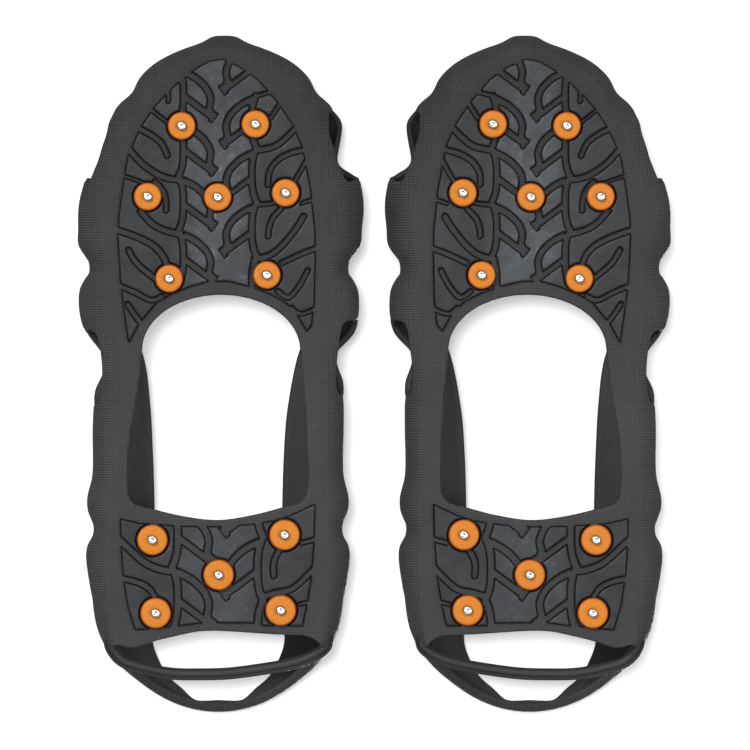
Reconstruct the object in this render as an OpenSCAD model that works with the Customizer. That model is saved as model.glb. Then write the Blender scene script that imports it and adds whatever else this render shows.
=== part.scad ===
// Pair of stretch-on shoe ice cleats, sole down as worn, toe towards +Y.

/* [Size] */
// Length of one cleat over the toe and the heel strap, mm
cleat_length = 272; // [240:1:300]
// Width of one cleat over the forefoot, mm
cleat_width = 114; // [95:1:125]
// Distance between the two cleats' centre lines, mm
pair_pitch = 125.4; // [118:0.2:180]

/* [Rubber body] */
// Thickness of the sole plates, mm
sole_thickness = 3; // [2:0.1:4]
// Thickness of the stretched side walls and collar, mm
wall_thickness = 2.4; // [1.8:0.1:3.5]
// Height of the tread lugs under the sole, mm
lug_height = 2.5; // [1.5:0.1:3]
// Width of the grooves between the lugs, mm
groove_width = 2.6; // [1.8:0.1:3.4]
// Diameter of the lower band behind the heel, mm
band_diameter = 4.6; // [3.5:0.1:6]

/* [Studs] */
// Diameter of the seven forefoot stud carriers, mm
forefoot_disc = 11.3; // [9:0.1:13]
// Diameter of the five heel stud carriers, mm
heel_disc = 12.5; // [9:0.1:14]
// Diameter of the steel pins, mm
pin_diameter = 3.6; // [2.4:0.1:4.5]
// How far the pins stand out of their carriers, mm
pin_reach = 2.2; // [1:0.1:3.5]

/* [Look] */
// Colour of the rubber
rubber_colour = "#3b3d40"; // color
// Colour of the stud carriers
disc_colour = "#d1833c"; // color
// Colour of the steel pins
steel_colour = "#b9bcc0"; // color

/* [Hidden] */
kx = cleat_width / 114;
ky = cleat_length / 272;
z_lug = 3.0;
z_sole = z_lug + lug_height;
z_bed = z_sole + sole_thickness;
z_sheet = z_sole - 0.7;
z_disc = pin_reach;
eps = 0.02;
// Stations run along one side from the toe tip (0) to the heel centre (q_end).
q_toe = 115;
q_heel = 255;
q_end = 330;
y_toe = 50;
y_heel = -90;
q_cap = 44;
q_cut = 274.75;
q_strap = 275.6;
// Rows run up the section: 0 sole edge, 1 widest point, 2 collar lip.
rows_wall = [0, 0.22, 0.44, 0.64, 0.82, 1];
rows_collar = [0, 0.22, 0.45, 0.68, 0.86, 1];
rows_strap = [0, 0.35, 0.7, 1.0, 1.3, 1.6, 2];
windows = [[48.5, 80], [118.5, 125.5], [143, 177], [223.5, 230.5]];
ring = [0, 0.03, 0.1, 0.24, 0.41, 0.59, 0.76, 0.9, 0.97, 1];
small = [0, 0.06, 0.25, 0.5, 0.75, 0.94, 1];
st_cap = [0, 4, 8, 13, 19, 25, 31, 37, 44];
st_side = concat([44], in_window(0, ring), [86, 93, 100, 107, 113], in_window(1, small), [131, 137],
  in_window(2, ring), [185, 195, 205, 215], in_window(3, small), [236, 243, 250, 255, 262, 269, 274.75]);
q_waist = 155;
st_strap = [275.6, 279, 283, 287.5, 292, 297, 302, 308, 314, 322, 330];
function in_window(i, part) = [for (u = part) windows[i][0] + (windows[i][1] - windows[i][0]) * u];
function oval(t, k) = pow(1 - pow(abs(t), k), 1 / k);
function gape(q) = max([for (w = windows) let (t = 2 * (q - w[0]) / (w[1] - w[0]) - 1)
  q <= w[0] || q >= w[1] ? 0 : w[1] - w[0] > 10 ? oval(t, 4) : 0.8 * oval(t, 2.6)]);
function big(q) = q > 48.5 && q < 80 ? windows[0] : q > 143 && q < 177 ? windows[2] : [];
function low_sill(q) = asin(min(0.98, (look(edge_s, q) - rho_b(q)) / (wall_w(q) - rho_b(q)))) / 90;
function sill(q) = 1.05 - (len(big(q)) > 0 ? 1.05 - low_sill(q) : 0.22) * gape(q);
function head(q) = 1.1 + 0.24 * gape(q);
edge_w = [[-4.1, 86.1], [0, 86.2], [4.1, 86.1], [7.6, 84], [15.7, 82.3], [25.3, 80.3], [33.1, 77.3],
  [42.4, 73.2], [48, 71.6], [54.8, 68.5], [60, 65], [66, 62], [75.3, 61.1], [81, 61.8], [84, 61.3],
  [89, 60.6], [95, 59.5], [104, 57.6], [111, 57], [114.5, 55.8], [117.2, 53.9], [119.5, 52.5],
  [124, 52.3], [126.6, 53.9], [130.4, 55.8], [135, 56.3], [141.4, 55.9], [147.8, 54], [154.2, 49.6],
  [161, 47.4], [167, 47.8], [173.4, 49.8], [185, 50.4], [205, 50.4], [215, 52.6], [227, 51.4],
  [237, 53], [250, 51.4], [255, 50.4], [269, 49.7], [284, 47.6], [294, 46.2], [306, 45.8],
  [330, 45.8], [354, 45.8]];
// The strip over the two large windows: wide at their ends, drawn in between them.
strip_front = [[48.5, 71.4], [52, 69.7], [57, 65.9], [62, 61], [66, 58.4], [70, 58], [75, 59.3], [80, 61.8]];
strip_rear = [[141, 56], [145, 55.6], [150.4, 53.6], [155, 49.4], [157.5, 47.4], [161, 46.9], [165, 48],
  [169, 49.4], [174, 50], [177, 50.1]];
edge_s = [[40, 72], [51, 68.6], [55.5, 65.4], [63, 62.1], [67, 60.6], [71, 59.8], [77, 58.7], [81, 57.6],
  [90, 57], [130, 51], [143, 49.5], [149, 48.6], [155, 47.8], [161, 47.2], [166, 47.2], [172, 48.3],
  [185, 49]];
edge_b = [[115, 41.5], [135, 40.5], [150, 38.5], [160, 38.5], [175, 39.5], [205, 40], [225, 40.5],
  [255, 41],
  [265, 41.8], [274.75, 44.8], [284, 43.6], [294, 42.6], [306, 42.2], [330, 42], [354, 42]];
edge_f = [[-20, 15], [0, 14], [20, 15], [40, 18], [60, 23], [80, 29], [100, 35], [115, 37.5],
  [135, 36.5], [150, 33.5],
  [157, 31], [164, 29.4], [172, 28.2], [185, 26.8], [215, 25.6], [255, 25.6], [269, 26.8], [283, 31.7],
  [293, 34],
  [302, 36.5], [312, 39.6], [320, 40.9], [330, 41], [340, 40.9]];
height_w = [[-50, 20], [0, 21], [50, 20], [115, 19], [160, 17], [215, 18], [255, 20], [274.75, 26],
  [284, 36],
  [295, 44], [306, 48], [330, 50], [354, 48]];
height_f = [[-60, 38], [0, 40], [60, 38], [115, 37], [160, 38], [200, 40], [255, 46], [275, 49],
  [295, 54], [330, 58],
  [365, 54]];
height_b = [[270, 5.5], [274.75, 5.5], [276, 16.5], [284, 27], [294, 36], [306, 41], [330, 43], [354, 41]];
forefoot_studs = [[-14.4, 99.7], [15.1, 100.4], [-28, 71.4], [0, 71.2], [27.2, 72.9], [-19.4, 38.6],
  [19.7, 40]];
heel_studs = [[-26.1, -66], [26.8, -64], [0.4, -80], [-24.8, -95.3], [25.3, -94.2]];

// Smooth curve through a table of [station, value] pairs.
function slope(t, i) = i <= 0 ? (t[1][1] - t[0][1]) / (t[1][0] - t[0][0])
  : i >= len(t) - 1 ? (t[i][1] - t[i - 1][1]) / (t[i][0] - t[i - 1][0])
  : (t[i + 1][1] - t[i - 1][1]) / (t[i + 1][0] - t[i - 1][0]);
function cell(t, q, i = 0) = i >= len(t) - 2 || q < t[i + 1][0] ? i : cell(t, q, i + 1);
function herm(a, b, ma, mb, h, s) = a * (1 + 2 * s) * (1 - s) * (1 - s) + ma * h * s * (1 - s) * (1 - s)
  + b * s * s * (3 - 2 * s) - mb * h * s * s * (1 - s);
function at(t, q, i) = herm(t[i][1], t[i + 1][1], slope(t, i), slope(t, i + 1), t[i + 1][0] - t[i][0],
  (q - t[i][0]) / (t[i + 1][0] - t[i][0]));
function look(t, q) = at(t, max(q, t[0][0]), cell(t, q));

// Section of the body at a station: sole edge, widest point and collar lip.
function toe_angle(q) = 90 - 90 * q / q_toe;
function round_toe(q) = pow(pow(cos(toe_angle(q)) / 41.5, 2.1) + pow(sin(toe_angle(q)) / 78.5, 2.1),
  -1 / 2.1);
function rho_b(q) = q < q_toe ? round_toe(q) : look(edge_b, q);
function z_b(q) = q <= q_cut ? z_sole : look(height_b, q) + z_sole - 5.5;
function bump(q, a, b, k) = q <= a || q >= b ? 0 : pow(sin(180 * (q - a) / (b - a)), k);
function notch(q) = 1.2 * bump(q, 221, 233, 0.5);
function strap_w(q) = q > 48.5 && q < 80 ? look(strip_front, q)
  : q > 143 && q < 177 ? look(strip_rear, q) : look(edge_w, q) - notch(q);
function wall_w(q) = let (w = big(q)) len(w) == 0 ? look(edge_w, q) - notch(q)
  : let (u = (q - w[0]) / (w[1] - w[0]))
  look(edge_w, w[0]) * (1 - u) + look(edge_w, w[1]) * u - 1.5 * sin(180 * u);
function roof(q, v) = pow(min(1, cos(90 * (v - 1)) / cos(90 * (head(q) - 1))), 0.72);
function sec(q, v) = v <= 1
  ? [rho_b(q) + (wall_w(q) - rho_b(q)) * sin(90 * v),
     look(height_w, q) - (look(height_w, q) - z_b(q)) * cos(90 * v)]
  : [look(edge_f, q) + (strap_w(q) - look(edge_f, q)) * roof(q, v),
     look(height_w, q) + (look(height_f, q) - look(height_w, q)) * pow(sin(90 * (v - 1)), 0.72)];
function unit(p) = p / norm(p);
function turn(d) = [-d[1], d[0]];
function dir(q, v) = v <= 0 ? [1, 0] : v >= 2 ? [-1, 0] : unit(sec(q, min(2, v + 0.02)) - sec(q, max(0,
  v - 0.02)));
function thick(v) = v < 0.3 ? sole_thickness + (wall_thickness - sole_thickness) * v / 0.3 : wall_thickness;
function inner_sec(q, v) = sec(q, v) + turn(dir(q, v)) * thick(v);
function ease(t) = let (u = max(0, min(1, t))) u * u * (3 - 2 * u);
function fade(y, y0, w) = exp(-pow(max(0, y0 - y) / w, 2));
function lean(y, v) = let (t = ease((v - 0.6) / 0.4))
  2.5 * sin(90 * min(1, v)) * (fade(y, 112, 8) * (1 - t) + fade(y, 98, 38) * t);
function spot(s, q, p, v) = q <= q_toe ? [s * p[0] * cos(toe_angle(q)),
  y_toe + p[0] * sin(toe_angle(q)), p[1]]
  : q <= q_heel ? [s * p[0], y_toe - (q - q_toe), p[1]]
  : [s * p[0] * cos(heel_angle(q)), y_heel - p[0] * sin(heel_angle(q)), p[1]];
function heel_angle(q) = 90 * (q - q_heel) / (q_end - q_heel);
function moved(p, v) = [kx * (p[0] + lean(p[1], v)), ky * p[1], p[2]];
function outer_pt(s, q, v) = moved(spot(s, q, sec(q, v), v), v);
function inner_pt(s, q, v) = moved(spot(s, q, inner_sec(q, v), v), v);
function flip(l) = [for (i = [len(l) - 1:-1:0]) l[i]];

// A strip of the body between stations: kind 0 the full section, 1 the wall, 2 the collar, 3 the strap.
function row(kind, q, j) = kind == 1 ? (j < len(rows_wall) ? sill(q) * rows_wall[j] : head(q))
  : kind == 2 ? head(q) + (2 - head(q)) * rows_collar[j]
  : kind == 3 ? rows_strap[j]
  : j < len(rows_wall) ? sill(q) * rows_wall[j] : head(q) + (2 - head(q)) * rows_collar[j - len(rows_wall)];
function count(kind) = kind == 1 ? len(rows_wall) + 1 : kind == 2 ? len(rows_collar)
  : kind == 3 ? len(rows_strap) : len(rows_wall) + len(rows_collar);
function quad(a, b, c, d) = [[a, b, c], [a, c, d]];
module strip(st, kind) {
  n = len(st);
  m = count(kind);
  base = n * m;
  pts = concat([for (p = st) for (j = [0:m - 1]) outer_pt(p[0], p[1], row(kind, p[1], j))],
    [for (p = st) for (j = [0:m - 1]) inner_pt(p[0], p[1], row(kind, p[1], j))]);
  mid_q = function(i) (st[i][1] + st[i + 1][1]) / 2;
  on = [for (i = [0:n - 2]) [for (j = [0:m - 2]) !(kind == 1 && j == m - 2 && gape(mid_q(i)) > 0)]];
  has = function(i, j) i >= 0 && i < n - 1 && j >= 0 && j < m - 1 && on[i][j];
  id = function(i, j) i * m + j;
  faces = [for (i = [0:n - 2]) for (j = [0:m - 2]) if (has(i, j)) each [
    [id(i, j), id(i, j + 1), id(i + 1, j + 1)], [id(i, j), id(i + 1, j + 1), id(i + 1, j)],
    [base + id(i, j), base + id(i + 1, j + 1), base + id(i, j + 1)],
    [base + id(i, j), base + id(i + 1, j), base + id(i + 1, j + 1)]]];
  ends = [for (i = [0:n - 2]) for (j = [0:m - 2]) if (has(i, j)) each concat(
    has(i - 1, j) ? [] : quad(id(i, j), base + id(i, j), base + id(i, j + 1), id(i, j + 1)),
    has(i + 1, j) ? [] : quad(id(i + 1, j + 1), base + id(i + 1, j + 1), base + id(i + 1, j), id(i + 1, j)),
    has(i, j - 1) ? [] : quad(id(i + 1, j), base + id(i + 1, j), base + id(i, j), id(i, j)),
    has(i, j + 1) ? [] : quad(id(i, j + 1), base + id(i, j + 1), base + id(i + 1, j + 1), id(i + 1,
      j + 1)))];
  polyhedron(points = pts, faces = concat(faces, ends), convexity = 8);
}
function way(s, l) = s > 0 ? [for (q = l) [1, q]] : [for (q = flip(l)) [-1, q]];

// Plan outlines.
st_all = concat(st_cap, [for (q = st_side) if (q > 44) q]);
function sole_edge(s, a, b) = [for (p = way(s, [for (q = st_all) if (q >= a && q <= b) q]))
  let (c = outer_pt(p[0], p[1], 0)) [c[0], c[1]]];
function arc(c, rx, ry, a0, a1, n) = [for (i = [0:n]) let (a = a0 + (a1 - a0) * i / n)
  [kx * (c[0] + rx * cos(a)), ky * (c[1] + ry * sin(a))]];
function fit2(l) = [for (p = l) [kx * p[0], ky * p[1]]];
forefoot_cut = arc([1.4, 10], 31.6, 20, 0, 180, 24);
rail_in = [[33, 10], [34, 0], [34.8, -10], [35.6, -25], [36, -38], [35.6, -45], [33.6, -49], [31, -51]];
rail_out = [[-30.2, 10], [-31.2, 0], [-32.6, -10], [-35.2, -25], [-36, -38], [-35.6, -45],
  [-33.6, -49], [-31, -51]];
heel_front = [[31, -51], [26, -53.4], [14, -56.4], [0, -58], [-14, -56.4], [-26, -53.4], [-31, -51]];
heel_rear = [[-41, -109.6], [-30, -107.6], [-15, -104.6], [0, -103], [15, -104.6], [30, -107.6],
  [41, -109.6]];

module holes(list, d) {
  for (p = list) translate([kx * p[0], ky * p[1], 0]) cylinder(d = d, h = 40, center = true, $fn = 48);
}
module plate(outline, list) {
  color(rubber_colour) difference() {
    translate([0, 0, z_sole]) linear_extrude(height = sole_thickness) polygon(outline);
    holes(list, 7);
  }
}
module forefoot_sole() {
  right_edge = sole_edge(1, 0, q_waist);
  edge = concat(sole_edge(-1, 0, q_waist), [for (i = [1:len(right_edge) - 1]) right_edge[i]]);
  plate(concat(edge, forefoot_cut), forefoot_studs);
}
module heel_sole() {
  front = fit2(flip(heel_front));
  rear = flip(fit2(heel_rear));
  plate(concat(front, sole_edge(1, 215, q_cut), rear, sole_edge(-1, 215, q_cut)), heel_studs);
}
module rail(s) {
  edge = sole_edge(s, q_waist, 215);
  inner = fit2(s > 0 ? flip(rail_in) : rail_out);
  plate(concat(edge, inner), []);
}

// Strokes for the tread grooves: a smooth centre line with flat or round ends.
function mid(l, i, u) = let (n = len(l), a = l[max(0, i - 1)], b = l[i], c = l[i + 1],
  d = l[min(n - 1, i + 2)])
  b + (c - a) * 0.5 * u + (2 * a - 5 * b + 4 * c - d) * 0.5 * u * u + (3 * b - a - 3 * c + d) * 0.5 * u
    * u * u;
function smooth(l, k) = len(l) < 3 ? l
  : concat([for (i = [0:len(l) - 2]) for (j = [0:k - 1]) mid(l, i, j / k)], [l[len(l) - 1]]);
function side_of(l, i) = turn(unit(l[min(len(l) - 1, i + 1)] - l[max(0, i - 1)]));
module stroke(l, w, k = 3) {
  c = smooth(fit2(l), k);
  polygon(concat([for (i = [0:len(c) - 1]) c[i] + side_of(c, i) * w / 2],
    [for (i = [len(c) - 1:-1:0]) c[i] - side_of(c, i) * w / 2]));
}
module dot(p, w) {
  translate([kx * p[0], ky * p[1]]) circle(d = w * 1.06, $fn = 25);
}
// Leaf lug with its curved groove, straight groove and end notch.
module leaf(s, x0, y0, k) {
  g = groove_width * k;
  bow = [[14.4, 14.4], [9.2, 11.7], [5, 7.6], [3.4, 3.4], [3.9, -0.4], [2.5, -3.4]];
  stroke([for (p = bow) [x0 + s * k * p[0], y0 + k * p[1]]], g * 1.08, 4);
  stroke([for (p = [[1.9, -4.4], [13.9, 4.5]]) [x0 + s * k * p[0], y0 + k * p[1]]], g, 1);
}
// Wavy channel with cusps once per pitch.
module channel(s, x0, y0, k, n, pitch) {
  yy = [for (i = [0:n * 6]) i];
  fx = function(i) let (t = (i % 6) / 3 - 1) 2 * k * abs(t * t * t);
  polygon(concat([for (i = yy) [kx * (x0 + s * k * (12.3 + fx(i) / k)), ky * (y0 + pitch * i / 6)]],
    [for (i = flip(yy)) [kx * (x0 + s * k * (15.1 + fx(i) / k)), ky * (y0 + pitch * i / 6)]]));
}
forefoot_pad = [[2, 126.4], [9, 123.2], [16, 118.4], [24, 109.2], [30, 100.3], [33.8, 91.5], [37, 75],
  [38.8, 58],
  [39, 48.6], [38.6, 30], [37.5, 20], [35.6, 17.6], [31.7, 24.5], [27, 29.2], [20.5, 32.6], [13, 35.4],
  [4, 37.6],
  [-4, 37.6], [-11.5, 35.4], [-19, 32.2], [-24.6, 29], [-31.8, 20.2], [-35.6, 13.2], [-37.2, 24],
  [-38.8, 37],
  [-39.9, 56.2], [-39.4, 64], [-37.6, 77], [-36, 86.9], [-33, 94.2], [-29.9, 100.3], [-25.3, 107],
  [-20.5, 112.4],
  [-14.6, 117.8], [-9, 122.2], [-3.5, 125.4]];
heel_pad = [[-38.8, -57.6], [-31, -59.4], [-14, -60.6], [0, -60.8], [12, -60], [22, -58.6], [30, -57],
  [38.8, -54.4],
  [38.5, -66], [37.5, -80], [36, -90], [33.8, -100.4], [29.4, -100.5], [27.5, -101.2], [25.3, -101.6],
  [23.1, -101.2], [21.2, -100.4], [17, -100.2], [14.5, -99.2], [-6, -99], [-14.5, -100.2], [-20.4, -101.3],
  [-22.6, -102.4], [-24.8, -102.7], [-27, -102.4], [-28.9, -101.7], [-33, -102], [-36, -92], [-37.8, -80],
  [-38.6, -68]];
module forefoot_grooves() {
  g = groove_width;
  for (y = [118, 96.3, 74.6, 52.9]) leaf(1, 0, y, 1);
  for (y = [107, 85.3, 63.5, 41.8]) leaf(-1, 0.6, y, 1);
  channel(1, 0, 25.7, 1, 4, 21.7);
  channel(-1, 0, 36.2, 1, 4, 21.7);
  stroke([[-20, 119.5], [-19.7, 109.6]], 2, 1);
  dot([-19.7, 109.6], 2);
  stroke([[-27.4, 106.8], [-20, 101]], 1.6, 1);
  stroke([[-31.8, 98.8], [-26.5, 96], [-22.3, 92.5], [-20.1, 87.8]], g * 0.92);
  dot([-20.1, 87.8], g * 0.92);
  stroke([[-37, 92.4], [-31.5, 85.8], [-26.5, 81.8], [-21, 79], [-14.6, 78]], g);
  stroke([[-39, 80.1], [-32, 77.8], [-28, 76]], 1.4);
  stroke([[-25, 77.5], [-21.8, 73.5], [-20.7, 69.5], [-20.6, 66]], g * 0.9);
  dot([-20.6, 66], g * 0.9);
  stroke([[-31.5, 66.4], [-26.5, 60.8], [-21.5, 58], [-14.6, 56.2]], g);
  stroke([[-41.4, 58.4], [-33, 55.5], [-26, 52], [-21.8, 47.5], [-19.8, 42]], g);
  stroke([[-35.6, 50], [-32.2, 44.5], [-25, 38.5]], g * 0.92);
  dot([-35.6, 50], g * 0.92);
  stroke([[-41, 36.4], [-33, 33], [-26.5, 29.9], [-21.5, 32]], g * 0.85);
  stroke([[-36, 28.3], [-33.5, 24.5], [-29.4, 19]], g * 0.85);
  dot([-36, 28.3], g * 0.85);
  stroke([[15, 111.6], [23.6, 113.9]], 1.8, 1);
  stroke([[26.2, 110.6], [21, 102.5]], 2, 1);
  stroke([[32.6, 100.2], [27.5, 95], [22.5, 91.4], [14.6, 89.8]], g);
  stroke([[36.2, 90.5], [29, 88.7], [23.5, 85.5], [20.6, 81], [20.2, 76.3]], g * 0.92);
  dot([20.2, 76.3], g * 0.92);
  stroke([[36.4, 87.4], [32.5, 80.5], [30, 76]], 2);
  stroke([[40, 70.9], [33, 68.5]], 1.6, 1);
  stroke([[14.4, 68.1], [21, 68.6], [26, 70]], 1.8);
  stroke([[25.5, 66.5], [21.8, 62.5], [20.4, 58], [20.3, 55.6]], g * 0.9);
  dot([20.3, 55.6], g * 0.9);
  stroke([[34.4, 63.4], [31.3, 58.5], [26, 52], [21, 48], [14.6, 46.2]], g);
  dot([34.4, 63.4], g);
  stroke([[41, 51.4], [33, 48.2], [25, 44.5]], g * 0.85);
  stroke([[36, 41.8], [32.6, 35.5], [28.3, 31], [24, 33.6]], g * 0.85);
  dot([36, 41.8], g * 0.85);
  stroke([[40.5, 27.3], [33.4, 24.4], [29, 27.4]], 1.8);
}
module heel_grooves() {
  g = groove_width * 1.12;
  k = 1.165;
  for (y = [-58.3, -83.5]) leaf(1, 0, y, k);
  for (y = [-70.3, -95.6]) leaf(-1, 0.4, y, k);
  channel(1, 0, -115.3, k, 3, 25.2);
  channel(-1, 0, -102, k, 2, 25.2);
  stroke([[-42, -63.4], [-35, -70], [-29, -75.2], [-23, -77.8], [-16.4, -78.8]], g);
  stroke([[-40.5, -81], [-32, -83], [-27.5, -85.5], [-25, -89]], g * 0.85);
  stroke([[40.5, -65.4], [33, -67.4]], 2, 1);
  stroke([[24.5, -69], [22.8, -75.5], [22.6, -80.3]], g * 0.9);
  dot([22.6, -80.3], g * 0.9);
  stroke([[40.4, -75.4], [34.2, -82], [29, -86], [23, -87.2], [16.4, -89.4]], g * 0.9);
  stroke([[39, -90.2], [32, -92]], 1.6, 1);
}
module rounds(list, d) {
  for (p = list) translate([kx * p[0], ky * p[1]]) circle(d = d, $fn = 48);
}
module tread(pad, list, d) {
  color(rubber_colour) difference() {
    translate([0, 0, z_lug]) linear_extrude(height = lug_height) polygon(fit2(pad));
    translate([0, 0, z_lug - 1]) linear_extrude(height = z_sheet - z_lug + 1) union() {
      children();
      rounds(list, d + 1.4);
    }
    holes(list, d + 0.6);
  }
}
module forefoot_tread() {
  tread(forefoot_pad, forefoot_studs, forefoot_disc) forefoot_grooves();
}
module heel_tread() {
  tread(heel_pad, heel_studs, heel_disc) heel_grooves();
}

// Moulded wall, collar, toe cap and straps.
module toe_cap() {
  around = concat([for (q = flip(st_cap)) [-1, q]], [for (i = [1:len(st_cap) - 1]) [1, st_cap[i]]]);
  color(rubber_colour) strip(around, 0);
}
module side_wall(s) {
  color(rubber_colour) strip(way(s, st_side), 1);
}
module collar(s) {
  color(rubber_colour) strip(way(s, st_side), 2);
}
module upper_heel_strap() {
  around = concat([for (q = st_strap) [1, q]], [for (i = [1:len(st_strap) - 1]) [-1, flip(st_strap)[i]]]);
  color(rubber_colour) strip(around, 3);
}
band_path = [[-43, -106.6], [-42.2, -110.4], [-36.5, -115.6], [-22, -119.1], [-7, -119.9], [6, -119.4],
  [21, -117.5],
  [35, -114], [42.2, -110.2], [43.6, -106.6]];
module lower_heel_band() {
  c = smooth(fit2(band_path), 3);
  n = len(c);
  k = 14;
  pts = [for (i = [0:n - 1]) for (j = [0:k - 1]) let (s = side_of(c,
    i) * band_diameter / 2 * cos(360 * j / k))
    [c[i][0] + s[0], c[i][1] + s[1], 12 + band_diameter / 2 * sin(360 * j / k)]];
  tube = [for (i = [0:n - 2]) for (j = [0:k - 1]) let (a = i * k + j, b = i * k + (j + 1) % k)
    each [[a, b, b + k], [a, b + k, a + k]]];
  color(rubber_colour) polyhedron(points = pts, convexity = 4,
    faces = concat(tube, [[for (j = [k - 1:-1:0]) j]], [[for (j = [0:k - 1]) (n - 1) * k + j]]));
}

// Stud carrier disc, backing washer and steel pin.
module carrier(p, d) {
  color(disc_colour) translate([kx * p[0], ky * p[1], 0]) rotate_extrude($fn = 48)
    polygon([[pin_diameter / 2 + 0.08, z_disc], [d / 2 - 0.5, z_disc], [d / 2, z_disc + 0.5],
      [d / 2, z_sole],
      [3.45, z_sole], [3.45, z_bed], [pin_diameter / 2 + 0.08, z_bed]]);
}
module washer(p, d) {
  color(disc_colour) translate([kx * p[0], ky * p[1], z_bed]) difference() {
    cylinder(d = d, h = 0.7, $fn = 48);
    translate([0, 0, -1]) cylinder(d = pin_diameter + 0.16, h = 3, $fn = 48);
  }
}
module stud(p) {
  r = pin_diameter / 2;
  color(steel_colour) translate([kx * p[0], ky * p[1], 0]) rotate_extrude($fn = 48)
    polygon([[0, 0], [r - 0.9, 0], [r - 0.4, 0.12], [r - 0.12, 0.4], [r, 0.9], [r, z_bed + 0.7],
      [r + 1.4, z_bed + 0.7], [r + 1.4, z_bed + 1.2], [r + 1, z_bed + 1.5], [0, z_bed + 1.5]]);
}
module studs(list) {
  for (p = list) stud(p);
}
module washers(list, d) {
  for (p = list) washer(p, d);
}
module left() {
  translate([-pair_pitch / 2, 0, 0]) children();
}
module right() {
  translate([pair_pitch / 2, 0, 0]) mirror([1, 0, 0]) children();
}

module left_forefoot_sole() {
  left() forefoot_sole();
}
module left_heel_sole() {
  left() heel_sole();
}
module left_inner_rail() {
  left() rail(1);
}
module left_outer_rail() {
  left() rail(-1);
}
module left_forefoot_tread() {
  left() forefoot_tread();
}
module left_heel_tread() {
  left() heel_tread();
}
module left_toe_cap() {
  left() toe_cap();
}
module left_inner_wall() {
  left() side_wall(1);
}
module left_outer_wall() {
  left() side_wall(-1);
}
module left_inner_collar() {
  left() collar(1);
}
module left_outer_collar() {
  left() collar(-1);
}
module left_lower_heel_band() {
  left() lower_heel_band();
}
module left_upper_heel_strap() {
  left() upper_heel_strap();
}
module left_carrier_1() {
  left() carrier(forefoot_studs[0], forefoot_disc);
}
module left_carrier_2() {
  left() carrier(forefoot_studs[1], forefoot_disc);
}
module left_carrier_3() {
  left() carrier(forefoot_studs[2], forefoot_disc);
}
module left_carrier_4() {
  left() carrier(forefoot_studs[3], forefoot_disc);
}
module left_carrier_5() {
  left() carrier(forefoot_studs[4], forefoot_disc);
}
module left_carrier_6() {
  left() carrier(forefoot_studs[5], forefoot_disc);
}
module left_carrier_7() {
  left() carrier(forefoot_studs[6], forefoot_disc);
}
module left_carrier_8() {
  left() carrier(heel_studs[0], heel_disc);
}
module left_carrier_9() {
  left() carrier(heel_studs[1], heel_disc);
}
module left_carrier_10() {
  left() carrier(heel_studs[2], heel_disc);
}
module left_carrier_11() {
  left() carrier(heel_studs[3], heel_disc);
}
module left_carrier_12() {
  left() carrier(heel_studs[4], heel_disc);
}
module left_forefoot_studs() {
  left() studs(forefoot_studs);
}
module left_heel_studs() {
  left() studs(heel_studs);
}
module left_forefoot_washers() {
  left() washers(forefoot_studs, 10.5);
}
module left_heel_washers() {
  left() washers(heel_studs, 11.5);
}
module right_forefoot_sole() {
  right() forefoot_sole();
}
module right_heel_sole() {
  right() heel_sole();
}
module right_inner_rail() {
  right() rail(1);
}
module right_outer_rail() {
  right() rail(-1);
}
module right_forefoot_tread() {
  right() forefoot_tread();
}
module right_heel_tread() {
  right() heel_tread();
}
module right_toe_cap() {
  right() toe_cap();
}
module right_inner_wall() {
  right() side_wall(1);
}
module right_outer_wall() {
  right() side_wall(-1);
}
module right_inner_collar() {
  right() collar(1);
}
module right_outer_collar() {
  right() collar(-1);
}
module right_lower_heel_band() {
  right() lower_heel_band();
}
module right_upper_heel_strap() {
  right() upper_heel_strap();
}
module right_carrier_1() {
  right() carrier(forefoot_studs[0], forefoot_disc);
}
module right_carrier_2() {
  right() carrier(forefoot_studs[1], forefoot_disc);
}
module right_carrier_3() {
  right() carrier(forefoot_studs[2], forefoot_disc);
}
module right_carrier_4() {
  right() carrier(forefoot_studs[3], forefoot_disc);
}
module right_carrier_5() {
  right() carrier(forefoot_studs[4], forefoot_disc);
}
module right_carrier_6() {
  right() carrier(forefoot_studs[5], forefoot_disc);
}
module right_carrier_7() {
  right() carrier(forefoot_studs[6], forefoot_disc);
}
module right_carrier_8() {
  right() carrier(heel_studs[0], heel_disc);
}
module right_carrier_9() {
  right() carrier(heel_studs[1], heel_disc);
}
module right_carrier_10() {
  right() carrier(heel_studs[2], heel_disc);
}
module right_carrier_11() {
  right() carrier(heel_studs[3], heel_disc);
}
module right_carrier_12() {
  right() carrier(heel_studs[4], heel_disc);
}
module right_forefoot_studs() {
  right() studs(forefoot_studs);
}
module right_heel_studs() {
  right() studs(heel_studs);
}
module right_forefoot_washers() {
  right() washers(forefoot_studs, 10.5);
}
module right_heel_washers() {
  right() washers(heel_studs, 11.5);
}

left_forefoot_sole();
left_heel_sole();
left_inner_rail();
left_outer_rail();
left_forefoot_tread();
left_heel_tread();
left_toe_cap();
left_inner_wall();
left_outer_wall();
left_inner_collar();
left_outer_collar();
left_lower_heel_band();
left_upper_heel_strap();
left_carrier_1();
left_carrier_2();
left_carrier_3();
left_carrier_4();
left_carrier_5();
left_carrier_6();
left_carrier_7();
left_carrier_8();
left_carrier_9();
left_carrier_10();
left_carrier_11();
left_carrier_12();
left_forefoot_studs();
left_heel_studs();
left_forefoot_washers();
left_heel_washers();
right_forefoot_sole();
right_heel_sole();
right_inner_rail();
right_outer_rail();
right_forefoot_tread();
right_heel_tread();
right_toe_cap();
right_inner_wall();
right_outer_wall();
right_inner_collar();
right_outer_collar();
right_lower_heel_band();
right_upper_heel_strap();
right_carrier_1();
right_carrier_2();
right_carrier_3();
right_carrier_4();
right_carrier_5();
right_carrier_6();
right_carrier_7();
right_carrier_8();
right_carrier_9();
right_carrier_10();
right_carrier_11();
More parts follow.
